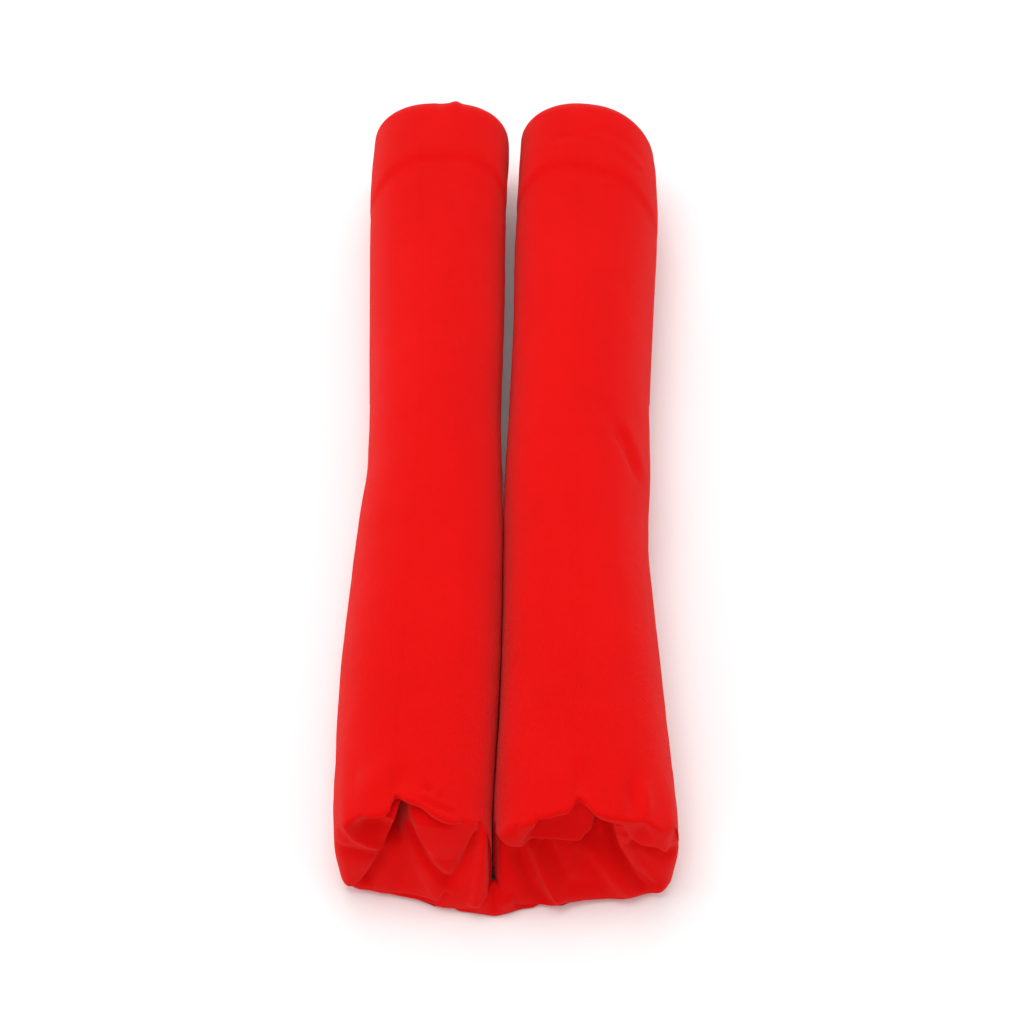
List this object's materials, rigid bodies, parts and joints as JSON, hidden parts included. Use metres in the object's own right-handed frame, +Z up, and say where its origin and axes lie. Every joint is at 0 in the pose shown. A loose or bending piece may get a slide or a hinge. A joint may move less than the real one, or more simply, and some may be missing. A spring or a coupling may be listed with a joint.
{
  "type": "hand wrap",
  "caption": "Pair of wide soft cloth hand wraps, each rolled into a long roll with a closure tab, lying side by side and joined at one end.",
  "frame": {"origin": "centre of the pair's bounding box on the plane it lies on", "axes": "+Z up from that plane, +Y along the rolls from their open ends to their closed ends, +X to the right when looking along +Y"},
  "size_m": [0.1, 0.302, 0.04],
  "materials": {
    "red_cloth": "fine soft cotton weave, matt with a light sheen at the rims",
    "webbing": "narrow ribbed tape",
    "thread": "polyester sewing thread",
    "loop_tape": "brushed loop pile",
    "hook_tape": "moulded hooks on woven tape"
  },
  "bodies": {
    "left_wrap": {"left_outer_turn": "red_cloth", "left_second_turn": "red_cloth", "left_third_turn": "red_cloth", "left_core_turn": "red_cloth", "left_thumb_loop": "webbing", "left_thumb_loop_tack": "thread", "left_loop_patch": "loop_tape", "joining_cloth": "red_cloth"},
    "right_wrap": {"right_outer_turn": "red_cloth", "right_second_turn": "red_cloth", "right_third_turn": "red_cloth", "right_core_turn": "red_cloth", "right_thumb_loop": "webbing", "right_thumb_loop_tack": "thread", "right_loop_patch": "loop_tape"},
    "left_closure": {"left_closure_tab": "red_cloth", "left_hook_patch": "hook_tape", "left_tab_stitching": "thread"},
    "right_closure": {"right_closure_tab": "red_cloth", "right_hook_patch": "hook_tape", "right_tab_stitching": "thread"}
  },
  "joints": [
    {"name": "roll_spread", "type": "hinge", "parent": "left_wrap", "child": "right_wrap", "pos_m": [-0.005, -0.151, 0], "axis": [0, 0, -1], "range_deg": [0, 45]},
    {"name": "left_tab_peel", "type": "hinge", "parent": "left_wrap", "child": "left_closure", "pos_m": [-0.04421, 0.029, 0.02], "axis": [-0.0097, 1, 0], "range_deg": [0, 110]},
    {"name": "right_tab_peel", "type": "hinge", "parent": "right_wrap", "child": "right_closure", "pos_m": [0.04482, 0.029, 0.02], "axis": [-0.0371, -0.9993, 0], "range_deg": [0, 110]}
  ]
}
